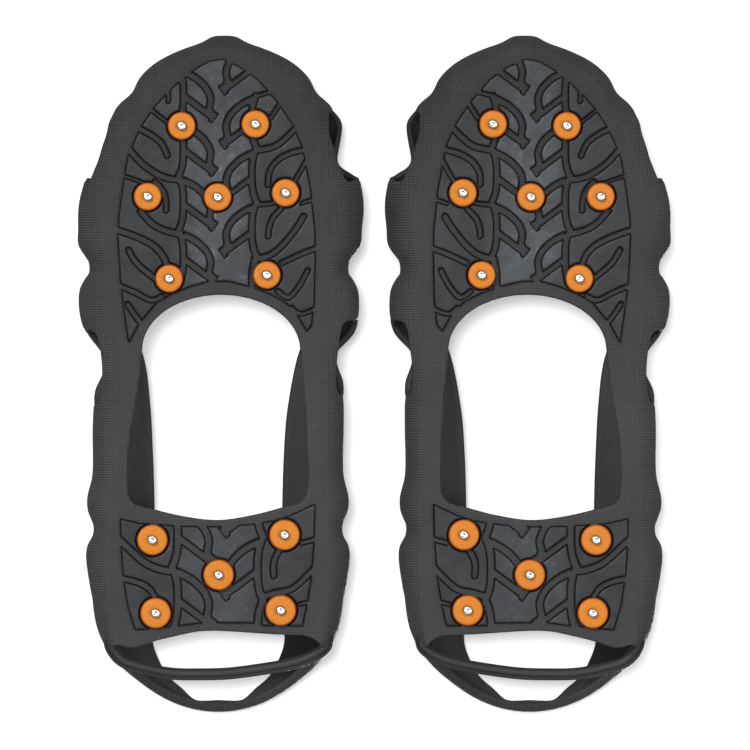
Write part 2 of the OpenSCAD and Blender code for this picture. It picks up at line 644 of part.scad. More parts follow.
right_carrier_12();
right_forefoot_studs();
right_heel_studs();
right_forefoot_washers();
right_heel_washers();
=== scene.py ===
"""Looks of a pair of stretch-on shoe ice cleats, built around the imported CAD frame."""
import math
import bpy
import numpy as np
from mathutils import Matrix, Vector
from mathutils.geometry import delaunay_2d_cdt


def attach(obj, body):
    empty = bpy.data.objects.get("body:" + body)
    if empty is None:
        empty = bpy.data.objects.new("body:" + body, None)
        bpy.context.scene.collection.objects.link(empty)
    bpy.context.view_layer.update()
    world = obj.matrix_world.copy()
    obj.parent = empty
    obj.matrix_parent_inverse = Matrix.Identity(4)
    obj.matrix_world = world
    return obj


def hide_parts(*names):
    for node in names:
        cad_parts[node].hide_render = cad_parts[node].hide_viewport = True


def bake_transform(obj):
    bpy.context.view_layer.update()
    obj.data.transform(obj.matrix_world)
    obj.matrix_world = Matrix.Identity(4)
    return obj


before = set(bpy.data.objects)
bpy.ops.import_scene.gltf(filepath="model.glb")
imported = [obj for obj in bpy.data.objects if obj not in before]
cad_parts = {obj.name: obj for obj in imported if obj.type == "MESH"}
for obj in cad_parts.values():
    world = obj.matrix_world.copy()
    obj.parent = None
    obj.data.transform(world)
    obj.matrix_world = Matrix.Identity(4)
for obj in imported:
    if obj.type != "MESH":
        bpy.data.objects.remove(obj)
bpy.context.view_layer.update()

MM = 0.001
PITCH = 125.4      # between the middles of the two cleats
LOW = 5.5          # underside of the sole plates
PLATE = 2.6        # thickness of the moulded rubber
LUG = 3.7          # underside of the lugs
TOE_Y, HEEL_Y = 50, -90          # where the sides pass into the toe's and the heel's round end
TOE_WIDE, TOE_LONG = 41.5, 78.5  # the sole plate's half width and length in the toe
FORE_DISC, HEEL_DISC = 11.3, 12.5

# The shell is a surface of station q and row v, on two sides: s = 1 is the inner one and -1 the outer.
# Stations: 0 at the toe's tip, Q_TOE and Q_HEEL at the ends of the straight part, Q_CUT where the sole plate
# ends and the wall runs on, Q_END at the middle of the heel strap. Rows: 0 at the sole plate's edge, 1 at
# the wall's crest and 2 at the collar's free edge. Table rows before 0 and past Q_END only set a slope.
Q_TOE, Q_HEEL, Q_END, Q_CUT = 115.0, 255.0, 330.0, 274.75
SILL, HEAD = 1.05, 1.1           # the rows on both sides of a window's ends
LARGE = (0, 2)                   # the windows that cut right through the wall's crest
NOTCH = (221, 233)               # where the small rear window draws the side in
ROOF = 0.72                      # how round the strap is over the crest: 1 is a quarter of an ellipse
LEAN = 2.5                       # how far the soft toe leans inwards
# both ends of every window; the large rear one sits 4 mm further back on the outer side
WINDOWS_IN = [[48.5, 80], [118.5, 125.5], [143, 173], [223.5, 230.5]]
WINDOWS_OUT = [[48.5, 80], [118.5, 125.5], [147, 177], [223.5, 230.5]]
# half width of the wall's crest by station; the scallops are the bulges between the windows
EDGE_W = [
    [-4.1, 86.1], [0, 86.2], [4.1, 86.1], [7.6, 84], [15.7, 82.3], [25.3, 80.3], [31.4, 78.1], [35.2, 76],
    [37.2, 74.1], [39.6, 73], [45, 72.4], [48.5, 71.4], [54.8, 68.5], [60, 65], [66, 62], [75.3, 61.1],
    [81, 61.8], [84, 61.3], [89, 60.6], [95, 59.5], [104, 57.6], [111, 57], [114.5, 55.8], [117.2, 53.9],
    [119.5, 52.5], [124, 52.3], [126.6, 53.9], [130.4, 55.8], [135, 56.3], [141.4, 55.9], [147.8, 54],
    [154.2, 49.6], [161, 47.4], [167, 47.8], [173.4, 49.8], [185, 50.4], [205, 50.4], [215, 52.6],
    [227, 51.4], [237, 53], [250, 51.4], [255, 50.4], [269, 49.7], [284, 47.6], [294, 46.2], [306, 45.8],
    [330, 45.8], [354, 45.8]]
# the strip over the large front window, on the inner side (s > 0) and the outer side: full width
# at its ends, tucked behind the wall between them
STRIP_FRONT_IN = [
    [48.5, 71.4], [52, 71], [55.3, 69.7], [57, 67.9], [62, 62.1], [66, 58.6], [70.3, 58.4], [75, 60.3],
    [80, 62.2]]
STRIP_FRONT_OUT = [
    [48.5, 71.4], [52, 68.4], [57, 63.8], [62, 60], [66, 58], [70, 57.5], [75, 58.2], [80, 61]]
# the strip over the large rear window, the same way
STRIP_REAR_IN = [
    [141, 56], [143, 56], [148.4, 54.1], [153, 49.8], [155.5, 47.2], [159, 46.8], [163, 48], [167, 49.7],
    [171, 50.2], [177, 50.1]]
STRIP_REAR_OUT = [
    [145, 54.9], [147, 54.3], [149, 53.2], [151, 51.9], [155, 48.7], [158, 47.2], [163, 46.9], [167, 48.6],
    [171, 50.3], [175, 50.6], [177, 50.3]]
# half width of the wall's edge below a large window
EDGE_S = [
    [40, 72], [51, 68.6], [55.5, 65.2], [63, 62.1], [67, 60.6], [71, 59.8], [77, 58.7], [81, 57.6],
    [90, 57], [130, 51], [143, 49.7], [149, 48.8], [155, 48], [161, 47.4], [166, 47.2], [172, 47.6],
    [185, 49]]
# half width of the sole plate's edge behind the toe
EDGE_B = [
    [115, 41.5], [135, 40.5], [150, 38.5], [160, 38.5], [175, 39.5], [205, 40], [225, 40.5], [255, 41],
    [265, 41.8], [274.75, 44.8], [284, 43.6], [294, 42.6], [306, 42.2], [330, 42], [354, 42]]
# half width of the collar's free edge
EDGE_F = [
    [-20, 15], [0, 14], [20, 15], [40, 18], [60, 23], [80, 29], [100, 35], [115, 37.5], [135, 36.5],
    [150, 33.5], [157, 31], [164, 29.4], [172, 28.2], [185, 26.8], [215, 25.6], [255, 25.6], [269, 26.8],
    [283, 31.9], [293, 34.6], [302, 37.3], [311.5, 39.2], [316.5, 41.3], [319.5, 42.2], [323, 41.7],
    [330, 41], [340, 40.9]]
# heights by station: the wall's crest, the collar's free edge, and the lower edge behind the sole
HEIGHT_W = [
    [-50, 20], [0, 21], [50, 20], [115, 19], [160, 17], [215, 18], [255, 20], [274.75, 26], [284, 36],
    [295, 44], [306, 48], [330, 50], [354, 48]]
HEIGHT_F = [
    [-60, 38], [0, 40], [60, 38], [115, 37], [160, 38], [200, 40], [255, 46], [275, 49], [295, 54],
    [330, 58], [365, 54]]
HEIGHT_B = [
    [272, 5.5], [274.75, 5.5], [277, 15], [280, 21.5], [284, 27], [294, 36], [306, 41], [330, 43],
    [354, 41]]
# middles of the studs
FORE_STUDS = [[-14.4, 99.7], [15.1, 100.4], [-28, 71.4], [0, 71.2], [27.2, 72.9], [-19.4, 38.6], [19.7, 40]]
HEEL_STUDS = [[-26.1, -66], [26.8, -64], [0.4, -80], [-24.8, -95.3], [25.3, -94.2]]


# ---------------------------------------------------------------- the moulded shell's surface
def look(table, q):
    """The table's value at q, on a smooth curve through its rows."""
    t = np.array(table, float)
    x, y = t[:, 0], t[:, 1]
    m = np.empty(len(x))
    m[1:-1] = (y[2:] - y[:-2]) / (x[2:] - x[:-2])
    m[0], m[-1] = (y[1] - y[0]) / (x[1] - x[0]), (y[-1] - y[-2]) / (x[-1] - x[-2])
    q = np.clip(np.asarray(q, float), x[0], x[-1])
    i = np.clip(np.searchsorted(x, q, side="right") - 1, 0, len(x) - 2)
    h = x[i + 1] - x[i]
    s = (q - x[i]) / h
    return (y[i] * (1 + 2 * s) * (1 - s) ** 2 + m[i] * h * s * (1 - s) ** 2
            + y[i + 1] * s * s * (3 - 2 * s) - m[i + 1] * h * s * s * (1 - s))


def ends(s, i):
    """Stations of the front and the rear end of window i."""
    inner, outer = WINDOWS_IN[i], WINDOWS_OUT[i]
    return np.where(s > 0, inner[0], outer[0]), np.where(s > 0, inner[1], outer[1])


def within(s, q, i):
    """How far through window i a station is: 0 at its front end, 1 at its rear end."""
    a, b = ends(s, i)
    return (q - a) / (b - a)


def gape(s, q):
    """How far open the windows are at a station; the large ones have the squarer corners."""
    g = np.zeros_like(q)
    for i in range(len(WINDOWS_IN)):
        u = np.minimum(np.abs(2 * within(s, q, i) - 1), 1)
        k, full = (7.0, 1.0) if i in LARGE else (2.6, 0.8)
        g = np.maximum(g, (1 - u ** k) ** (1 / k) * full)
    return g


def notch(q):
    """How far the small rear window draws the whole side in."""
    a, b = NOTCH
    wave = np.clip(np.sin(math.pi * (q - a) / (b - a)), 0, 1)
    return np.where((q > a) & (q < b), 1.2 * np.sqrt(wave), 0)


def strap_width(s, q):
    """Half width at the foot of the strap over the windows."""
    w = look(EDGE_W, q) - notch(q)
    u = within(s, q, 0)
    w = np.where((u > 0) & (u < 1), np.where(s > 0, look(STRIP_FRONT_IN, q), look(STRIP_FRONT_OUT, q)), w)
    u = within(s, q, 2)
    return np.where((u > 0) & (u < 1), np.where(s > 0, look(STRIP_REAR_IN, q), look(STRIP_REAR_OUT, q)), w)


def wall_width(s, q):
    """Half width of the wall's crest, carried straight across the large windows."""
    w = look(EDGE_W, q) - notch(q)
    for i in LARGE:
        u = np.clip(within(s, q, i), 0, 1)
        a, b = (look(EDGE_W, end) for end in ends(s, i))
        w = np.where((u > 0) & (u < 1), a * (1 - u) + b * u - 1.5 * np.sin(math.pi * u), w)
    return w


def sill(s, q):
    """The last row of the wall, below a window; a large window's sill runs along EDGE_S."""
    b = rho_base(q)
    low = np.arcsin(np.clip((look(EDGE_S, q) - b) / (wall_width(s, q) - b), 0.05, 0.98)) / (math.pi / 2)
    large = np.zeros(q.shape, bool)
    for i in LARGE:
        large |= (within(s, q, i) > 0) & (within(s, q, i) < 1)
    return SILL - np.where(large, SILL - low, 0.22) * gape(s, q)


def head(s, q):
    """The first row of the strap, above a window."""
    return HEAD + 0.24 * gape(s, q)


def ease(t):
    u = np.clip(t, 0, 1)
    return u * u * (3 - 2 * u)


def fade(y, y0, w):
    """1 in front of y0, and fading over w behind it."""
    return np.exp(-(np.maximum(0, y0 - y) / w) ** 2)


def toe_angle(q):
    return np.radians(90 - 90 * np.minimum(q, Q_TOE) / Q_TOE)


def rho_base(q):
    """Distance of the sole plate's edge: from the toe's centre there, and from the centre line behind it."""
    a = toe_angle(q)
    k = 2.1
    toe = ((np.cos(a) / TOE_WIDE) ** k + (np.abs(np.sin(a)) / TOE_LONG) ** k) ** (-1 / k)
    return np.where(q < Q_TOE, toe, look(EDGE_B, q))


def section(s, q, v):
    """Distance from the centre line and height of the outer face."""
    w, f, zw, zf = wall_width(s, q), look(EDGE_F, q), look(HEIGHT_W, q), look(HEIGHT_F, q)
    b, zb = rho_base(q), np.where(q <= Q_CUT, LOW, look(HEIGHT_B, q))
    lo, hi = np.clip(v, 0, 1) * math.pi / 2, np.clip(v - 1, 0, 1) * math.pi / 2
    r1 = b + (w - b) * np.sin(lo)
    z1 = zw - (zw - zb) * np.cos(lo)
    rim = np.cos(np.clip(head(s, q) - 1, 0, 1) * math.pi / 2)
    r2 = f + (strap_width(s, q) - f) * np.clip(np.cos(hi) / rim, 0, 1) ** ROOF
    z2 = zw + (zf - zw) * np.sin(hi) ** ROOF
    return np.where(v <= 1, r1, r2), np.where(v <= 1, z1, z2)


def shell_point(s, q, v):
    """A point in the cleat's own frame: x across, inwards positive, y towards the toe, z up, in mm."""
    r, z = section(s, q, v)
    a = toe_angle(q)
    h = np.radians(90 * (np.maximum(q, Q_HEEL) - Q_HEEL) / (Q_END - Q_HEEL))
    x = s * r * np.where(q < Q_TOE, np.cos(a), np.cos(h))
    y = np.where(q < Q_HEEL, TOE_Y - (q - Q_TOE), HEEL_Y - r * np.sin(h))
    y = np.where(q < Q_TOE, TOE_Y + r * np.sin(a), y)
    # the whole shell leans inwards: the strap all along the toe, the wall at its tip, both at the waist
    t = ease((v - 0.6) / 0.4)
    push = LEAN * (fade(y, 112, 8) * (1 - t) + fade(y, 98, 38) * t) + 0.9 * np.exp(-((y - 8) / 20) ** 2)
    x = x + push * np.sin(np.minimum(1, v) * math.pi / 2)
    return np.stack([x, y, z], -1)


def stations(windows):
    """Columns of one side from the toe tip to the heel centre, closer together where a window ends."""
    plain, apart = 2.2, 0.9          # between plain columns, and from a plain one to a fine one
    fine = []
    for a, b in windows:
        n = max(12, int((b - a) / 1.3))
        fine += [a + (b - a) * 0.5 * (1 - math.cos(math.pi * k / n)) for k in range(n + 1)]
    fine += [Q_CUT + 0.55 * k for k in range(0, 14)] + [Q_CUT - 1.1 * k for k in range(1, 4)]
    clear = [q for q in np.arange(0, Q_END + 0.1, plain) if min(abs(q - f) for f in fine) > apart]
    clear = [q for q in clear if not any(a < q < b for a, b in windows)]
    return np.array(sorted(set(clear + fine)))


def smooth(points, k=6, closed=False):
    """Catmull-Rom line through the points, k steps a span."""
    p = np.array(points, float)
    n = len(p)
    out = []
    spans = range(n) if closed else range(n - 1)
    for i in spans:
        a = p[(i - 1) % n] if closed else p[max(0, i - 1)]
        b, c = p[i], p[(i + 1) % n]
        d = p[(i + 2) % n] if closed else p[min(n - 1, i + 2)]
        for j in range(k):
            u = j / k
            out.append(b + (c - a) * 0.5 * u + (2 * a - 5 * b + 4 * c - d) * 0.5 * u * u
                       + (3 * b - a - 3 * c + d) * 0.5 * u ** 3)
    if not closed:
        out.append(p[-1])
    return np.array(out)


def spaced(line, step, closed=False):
    """The same line with points an even step apart."""
    p = np.vstack([line, line[:1]]) if closed else line
    d = np.concatenate([[0], np.cumsum(np.linalg.norm(np.diff(p, axis=0), axis=1))])
    n = max(2, int(round(d[-1] / step)))
    t = np.linspace(0, d[-1], n + 1)
    out = np.stack([np.interp(t, d, p[:, i]) for i in range(p.shape[1])], -1)
    return out[:-1] if closed else out


def offset(line, dist, closed=False):
    """A parallel line, dist to the left of the way the line runs."""
    a = np.roll(line, 1, 0) if closed else np.vstack([line[:1], line[:-1]])
    b = np.roll(line, -1, 0) if closed else np.vstack([line[1:], line[-1:]])
    t = b - a
    t /= np.maximum(np.linalg.norm(t, axis=1, keepdims=True), 1e-9)
    return line + dist * np.stack([-t[:, 1], t[:, 0]], -1)


def inside(poly, x, y):
    """Which of the points lie in the closed outline."""
    hit = np.zeros(np.shape(x), bool)
    n = len(poly)
    for i in range(n):
        (x0, y0), (x1, y1) = poly[i], poly[(i + 1) % n]
        cross = (y0 > y) != (y1 > y)
        if y1 != y0:
            hit ^= cross & (x < (x1 - x0) * (y - y0) / (y1 - y0) + x0)
    return hit


def edge_distance(line, x, y):
    """The points' distances from the closed outline."""
    best = np.full(np.shape(x), 1e9)
    n = len(line)
    for i in range(n):
        a, b = line[i], line[(i + 1) % n]
        d = b - a
        t = np.clip(((x - a[0]) * d[0] + (y - a[1]) * d[1]) / max(d @ d, 1e-9), 0, 1)
        best = np.minimum(best, np.hypot(x - a[0] - t * d[0], y - a[1] - t * d[1]))
    return best


# the open waist, anticlockwise from the inner rail's front end, and the sole plate's rear edge
WAIST_ARC = [[1.4 + 31.6 * math.cos(math.radians(a)), 10 + 22 * math.sin(math.radians(a))]
             for a in range(0, 181, 10)]
RAIL_OUT = [[-31.2, 0], [-32.6, -10], [-35.2, -25], [-36, -38], [-35.9, -45], [-35.4, -49], [-33.4, -51.6]]
HEEL_FRONT = [[-26, -53.6], [-14, -56.4], [0, -58], [14, -56], [26.3, -52.8], [33, -51]]
RAIL_IN = [[35.6, -47.4], [35.9, -43], [36, -38], [35.6, -25], [34.8, -10], [34, 0]]
HEEL_REAR = [[37, -105], [30, -104.2], [22, -103.9], [15, -103.4], [0, -102.5], [-8, -102.8], [-15, -104.2],
             [-25, -106.6], [-32, -109], [-36, -109.3]]


# ---------------------------------------------------------------- meshes
def sides(pts, side):
    """From a cleat's own frame in mm to the row frame in metres; the right cleat is the mirror image."""
    p = np.array(pts, float)
    p[:, 0] = p[:, 0] - PITCH / 2 if side == "left" else PITCH / 2 - p[:, 0]
    return p * MM


def make(name, side, pts, faces, mats):
    """A smooth mesh from points and faces of any size."""
    if side == "right":
        faces = [f[::-1] for f in faces]
    mesh = bpy.data.meshes.new(name)
    mesh.from_pydata(sides(pts, side).tolist(), [], [list(map(int, f)) for f in faces])
    mesh.validate()
    for m in mats:
        mesh.materials.append(m)
    mesh.polygons.foreach_set("use_smooth", [True] * len(mesh.polygons))
    obj = bpy.data.objects.new(name, mesh)
    bpy.context.scene.collection.objects.link(obj)
    return obj


def applied(obj):
    """The modifiers' result as the object's own mesh."""
    bpy.context.view_layer.update()
    done = bpy.data.meshes.new_from_object(obj.evaluated_get(bpy.context.evaluated_depsgraph_get()))
    obj.modifiers.clear()
    obj.data = done


def plates(border, known, hole, rear):
    """Triangles that fill the flat soles up to the hole.

    known holds the number of each border point in the shell, or None. The result is the points, the known
    numbers of each, and the triangles. A second line along each free edge keeps its rounding narrow."""
    narrow, grid = 1.3, 5.5
    crease, rear_crease = offset(hole, -narrow, True), offset(rear[2:-2], -narrow)
    points, numbers, edges = [], [], []

    def chain(line, ids, closed):
        start, k = len(points), len(line)
        points.extend(Vector((float(x), float(y))) for x, y in line)
        numbers.extend(ids)
        edges.extend((start + a, start + (a + 1) % k) for a in range(k if closed else k - 1))

    chain(border, known, True)
    chain(hole, [None] * len(hole), True)
    chain(crease, [None] * len(crease), True)
    chain(rear_crease, [None] * len(rear_crease), False)
    gx, gy = np.meshgrid(np.arange(-44, 45, grid), np.arange(-112, 130, grid))
    gx, gy = gx.ravel() + 0.13, gy.ravel() + 0.07
    free = inside(border, gx, gy) & ~inside(crease, gx, gy)
    free &= (edge_distance(border, gx, gy) > 2.6) & (edge_distance(crease, gx, gy) > 1.8)
    for x, y in zip(gx[free], gy[free]):
        points.append(Vector((float(x), float(y))))
        numbers.append(None)
    out, _, triangles, origins, _, _ = delaunay_2d_cdt(points, edges, [], 1, 1e-5)
    return out, [[numbers[o] for o in found if numbers[o] is not None] for found in origins], triangles


def shell(side, mats):
    """The rubber body of one cleat: walls, toe cap, collar, strap and soles as one skin."""
    columns = [(1, q) for q in stations(WINDOWS_IN)] + [(-1, q) for q in stations(WINDOWS_OUT)[-2:0:-1]]
    s, q = (np.array(values, float) for values in zip(*columns))
    low, top = sill(s, q), head(s, q)
    up = np.linspace(0, 1, 12)
    over = np.array([0, .05, .12, .2, .3, .4, .5, .6, .7, .79, .87, .93, .97, 1])
    rows = np.concatenate([low[:, None] * up[None, :], top[:, None] + (2 - top[:, None]) * over[None, :]], 1)
    n, m = rows.shape
    pts = shell_point(np.repeat(s, m), np.repeat(q, m), rows.ravel())
    faces = []
    for i in range(n):
        k = (i + 1) % n
        window = gape(s[i if s[i] == s[k] else k], np.array([(q[i] + q[k]) / 2]))[0] > 0
        for j in range(m - 1):
            if not (window and j == len(up) - 1):
                faces.append([i * m + j, i * m + j + 1, k * m + j + 1, k * m + j])
    # the flat soles: their outer edge is the shell's own first row, from the outer heel round the toe
    plate = [i for i in range(n) if q[i] <= Q_CUT + 1e-6]
    loop = [i for i in plate if s[i] < 0] + [i for i in plate if s[i] > 0]
    edge = pts.reshape(n, m, 3)[loop, 0, :2]
    rear = spaced(smooth([edge[-1]] + HEEL_REAR + [edge[0]]), 2.4)
    hole = spaced(smooth(WAIST_ARC + RAIL_OUT + HEEL_FRONT + RAIL_IN, 6, True), 2.2, True)
    border = np.vstack([edge, rear[1:-1]])
    out, known, triangles = plates(border, [i * m for i in loop] + [None] * (len(rear) - 2), hole, rear)
    numbers, new = [], []
    for p, same in zip(out, known):
        numbers.append(same[0] if same else n * m + len(new))
        if not same:
            new.append([p[0], p[1], LOW])
    for corners in triangles:
        x, y = sum((out[i] for i in corners), Vector((0, 0))) / len(corners)
        f = [numbers[i] for i in corners]
        if inside(border, x, y) and not inside(hole, x, y) and len(set(f)) == len(f):
            faces.append(f[::-1])
    obj = make(f"{side}_shell", side, np.vstack([pts, np.array(new)]), faces, mats)
    bpy.context.view_layer.objects.active = obj
    thick = obj.modifiers.new("thickness", "SOLIDIFY")
    thick.thickness, thick.offset, thick.use_even_offset, thick.use_rim = PLATE * MM, -1, False, True
    thick.material_offset = thick.material_offset_rim = 1      # the inside and the cut edges are smooth, and a darker colour paints their shade
    fine = obj.modifiers.new("round", "SUBSURF")
    fine.levels = fine.render_levels = 1
    applied(obj)
    obj.data.polygons.foreach_set("use_smooth", [True] * len(obj.data.polygons))
    return obj


def quads(name, side, pts, quad, mats, attrs=None):
    """A large smooth mesh of quads straight from arrays."""
    p = sides(pts, side)
    f = np.array(quad, np.int32)
    if side == "right":
        f = f[:, ::-1]
    mesh = bpy.data.meshes.new(name)
    mesh.vertices.add(len(p))
    mesh.vertices.foreach_set("co", p.astype(np.float32).ravel())
    mesh.loops.add(f.size)
    mesh.loops.foreach_set("vertex_index", f.ravel())
    mesh.polygons.add(len(f))
    mesh.polygons.foreach_set("loop_start", np.arange(0, f.size, 4, dtype=np.int32))
    mesh.polygons.foreach_set("loop_total", np.full(len(f), 4, np.int32))
    mesh.polygons.foreach_set("use_smooth", np.ones(len(f), bool))
    mesh.update(calc_edges=True)
    mesh.validate()
    for m in mats:
        mesh.materials.append(m)
    for key, val in (attrs or {}).items():
        a = mesh.attributes.new(key, "FLOAT", "POINT")
        a.data.foreach_set("value", np.asarray(val, np.float32))
    obj = bpy.data.objects.new(name, mesh)
    bpy.context.scene.collection.objects.link(obj)
    return obj


# ---------------------------------------------------------------- tread: lugs cut by moulded grooves
def stroke(field, gx, gy, line, w, round_end=False, k=4):
    """Lowers the field to the distance from a groove of width w along the line, smoothed in k steps a span.

    Its ends are flat unless round_end."""
    slack = 3.0
    c = smooth(line, k) if len(line) > 2 else np.array(line, float)
    lo, hi = c.min(0) - w / 2 - slack, c.max(0) + w / 2 + slack
    x0, x1 = np.searchsorted(gx, [lo[0], hi[0]])
    y0, y1 = np.searchsorted(gy, [lo[1], hi[1]])
    if x0 >= x1 or y0 >= y1:
        return
    x, y = np.meshgrid(gx[x0:x1], gy[y0:y1])
    best = np.full(x.shape, 1e9)
    n = len(c) - 1
    for i in range(n):
        a, d = c[i], c[i + 1] - c[i]
        length = max(math.hypot(*d), 1e-9)
        t = ((x - a[0]) * d[0] + (y - a[1]) * d[1]) / length
        s = np.clip(t, 0, length)
        dist = np.hypot(x - a[0] - s * d[0] / length, y - a[1] - s * d[1] / length) - w / 2
        if not round_end:
            across = np.abs((x - a[0]) * d[1] - (y - a[1]) * d[0]) / length - w / 2
            if i == 0:
                dist = np.where(t < 0, np.maximum(across, -t), dist)
            if i == n - 1:
                dist = np.where(t > length, np.maximum(across, t - length), dist)
        best = np.minimum(best, dist)
    field[y0:y1, x0:x1] = np.minimum(field[y0:y1, x0:x1], best)


def leaf(cut, s, x0, y0, k, g):
    """The groove that hooks round a leaf-shaped lug: a bow, a straight back and the bar at its end."""
    bow = [[14.4, 14.4], [9.2, 11.7], [5, 7.6], [3.4, 3.4], [3.9, -0.4], [2.5, -3.4]]
    cut([[x0 + s * k * p[0], y0 + k * p[1]] for p in bow], g * 1.08)
    cut([[x0 + s * k * p[0], y0 + k * p[1]] for p in [[1.9, -4.4], [13.9, 4.5]]], g)
    cut([[x0 + s * k * p[0], y0 + k * p[1]] for p in [[1.6, -4.35], [3.0, -3.3]]], 4.4 * k)


def channel(cut, s, x0, y0, k, n, pitch):
    """The long groove between the middle and the side lugs, bowed inwards once a pitch."""
    line = []
    for i in range(n * 16 + 1):
        t = (i % 16) / 8 - 1
        line.append([x0 + s * (13.7 * k + 2 * k * abs(t) ** 3), y0 + pitch * i / 16])
    cut(line, 2.75 * k, False, 1)


def forefoot_grooves(cut):
    g = 2.6
    for y in (118, 96.3, 74.6, 52.9):
        leaf(cut, 1, 0, y, 1, g)
    for y in (107, 85.3, 63.5, 41.8):
        leaf(cut, -1, 0.6, y, 1, g)
    channel(cut, 1, 0, 25.7, 1, 4, 21.7)
    channel(cut, -1, 0, 36.2, 1, 4, 21.7)
    cut([[-20, 119.5], [-19.7, 109.6]], 2, True)
    cut([[-27.4, 106.8], [-20, 101]], 1.6)
    cut([[-31.8, 98.8], [-26.5, 96], [-22.3, 92.5], [-20.1, 87.8]], g * 0.92, True)
    cut([[-37, 92.4], [-31.5, 85.8], [-26.5, 81.8], [-21, 79], [-14.6, 78]], g)
    cut([[-39, 80.1], [-32, 77.8], [-28, 76]], 1.4)
    cut([[-25, 77.5], [-21.8, 73.5], [-20.7, 69.5], [-20.6, 66]], g * 0.9, True)
    cut([[-31.5, 66.4], [-26.5, 60.8], [-21.5, 58], [-14.6, 56.2]], g)
    cut([[-41.4, 58.4], [-33, 55.5], [-26, 52], [-21.8, 47.5], [-19.8, 42]], g)
    cut([[-35.6, 50], [-32.2, 44.5], [-25, 38.5]], g * 0.92, True)
    cut([[-41, 36.4], [-33, 33], [-26.5, 29.9], [-21.5, 32]], g * 0.85)
    cut([[-36, 28.3], [-33.5, 24.5], [-29.4, 19]], g * 0.85, True)
    cut([[15, 111.6], [23.6, 113.9]], 1.8)
    cut([[26.2, 110.6], [21, 102.5]], 2)
    cut([[32.6, 100.2], [27.5, 95], [22.5, 91.4], [14.6, 89.8]], g)
    cut([[36.2, 90.5], [29, 88.7], [23.5, 85.5], [20.6, 81], [20.2, 76.3]], g * 0.92, True)
    cut([[36.4, 87.4], [32.5, 80.5], [30, 76]], 2)
    cut([[40, 70.9], [33, 68.5]], 1.6)
    cut([[14.4, 68.1], [21, 68.6], [26, 70]], 1.8)
    cut([[25.5, 66.5], [21.8, 62.5], [20.4, 58], [20.3, 55.6]], g * 0.9, True)
    cut([[34.4, 63.4], [31.3, 58.5], [26, 52], [21, 48], [14.6, 46.2]], g, True)
    cut([[41, 51.4], [33, 48.2], [25, 44.5]], g * 0.85)
    cut([[36, 41.8], [32.6, 35.5], [28.3, 31], [24, 33.6]], g * 0.85, True)
    cut([[40.5, 27.3], [33.4, 24.4], [29, 27.4]], 1.8)


def heel_grooves(cut):
    g, k = 2.6 * 1.12, 1.165
    for y in (-58.3, -83.5):
        leaf(cut, 1, 0, y, k, g)
    for y in (-70.3, -95.6):
        leaf(cut, -1, 0.4, y, k, g)
    channel(cut, 1, 0, -115.3, k, 3, 25.2)
    channel(cut, -1, 0, -102, k, 2, 25.2)
    cut([[-42, -63.4], [-35, -70], [-29, -75.2], [-23, -77.8], [-16.4, -78.8]], g)
    cut([[-40.5, -81], [-32, -83], [-27.5, -85.5], [-25, -89]], g * 0.85)
    cut([[40.5, -65.4], [33, -67.4]], 2)
    cut([[26.8, -67.5], [23.6, -72], [22.3, -76], [22.5, -80.3]], g * 0.9, True)
    cut([[40.4, -75.4], [34.2, -82], [29, -86], [23, -87.2], [16.4, -89.4]], g * 0.9)
    cut([[39, -90.2], [32, -92]], 1.6)


# outlines of the lugged areas
FORE_PAD = [[2, 126.4], [9, 123.2], [16, 118.4], [24, 109.2], [30, 100.3], [33.8, 91.5], [37, 75],
            [38.8, 58], [39, 48.6], [38.6, 30], [37.5, 20], [35.6, 17.6], [31.7, 24.5], [27, 29.2],
            [20.5, 32.6], [13, 35.4], [4, 37.6], [-4, 37.6], [-11.5, 35.4], [-19, 32.2], [-24.6, 29],
            [-31.8, 20.2], [-35.6, 13.2], [-37.2, 24], [-38.8, 37], [-39.9, 56.2], [-39.4, 64],
            [-37.6, 77], [-36, 86.9], [-33, 94.2], [-29.9, 100.3], [-25.3, 107], [-20.5, 112.4],
            [-14.6, 117.8], [-9, 122.2], [-3.5, 125.4]]
HEEL_PAD = [[-38.8, -57.6], [-31, -59.4], [-14, -60.6], [0, -60.8], [12, -60], [22, -58.6], [30, -56],
            [38.9, -51.8], [38.5, -66], [37.5, -80], [36, -90], [33.8, -100.4], [17, -100.2], [14.5, -99.2],
            [-6, -99], [-14.5, -100.2], [-33, -102], [-36, -92], [-37.8, -80], [-38.6, -68]]


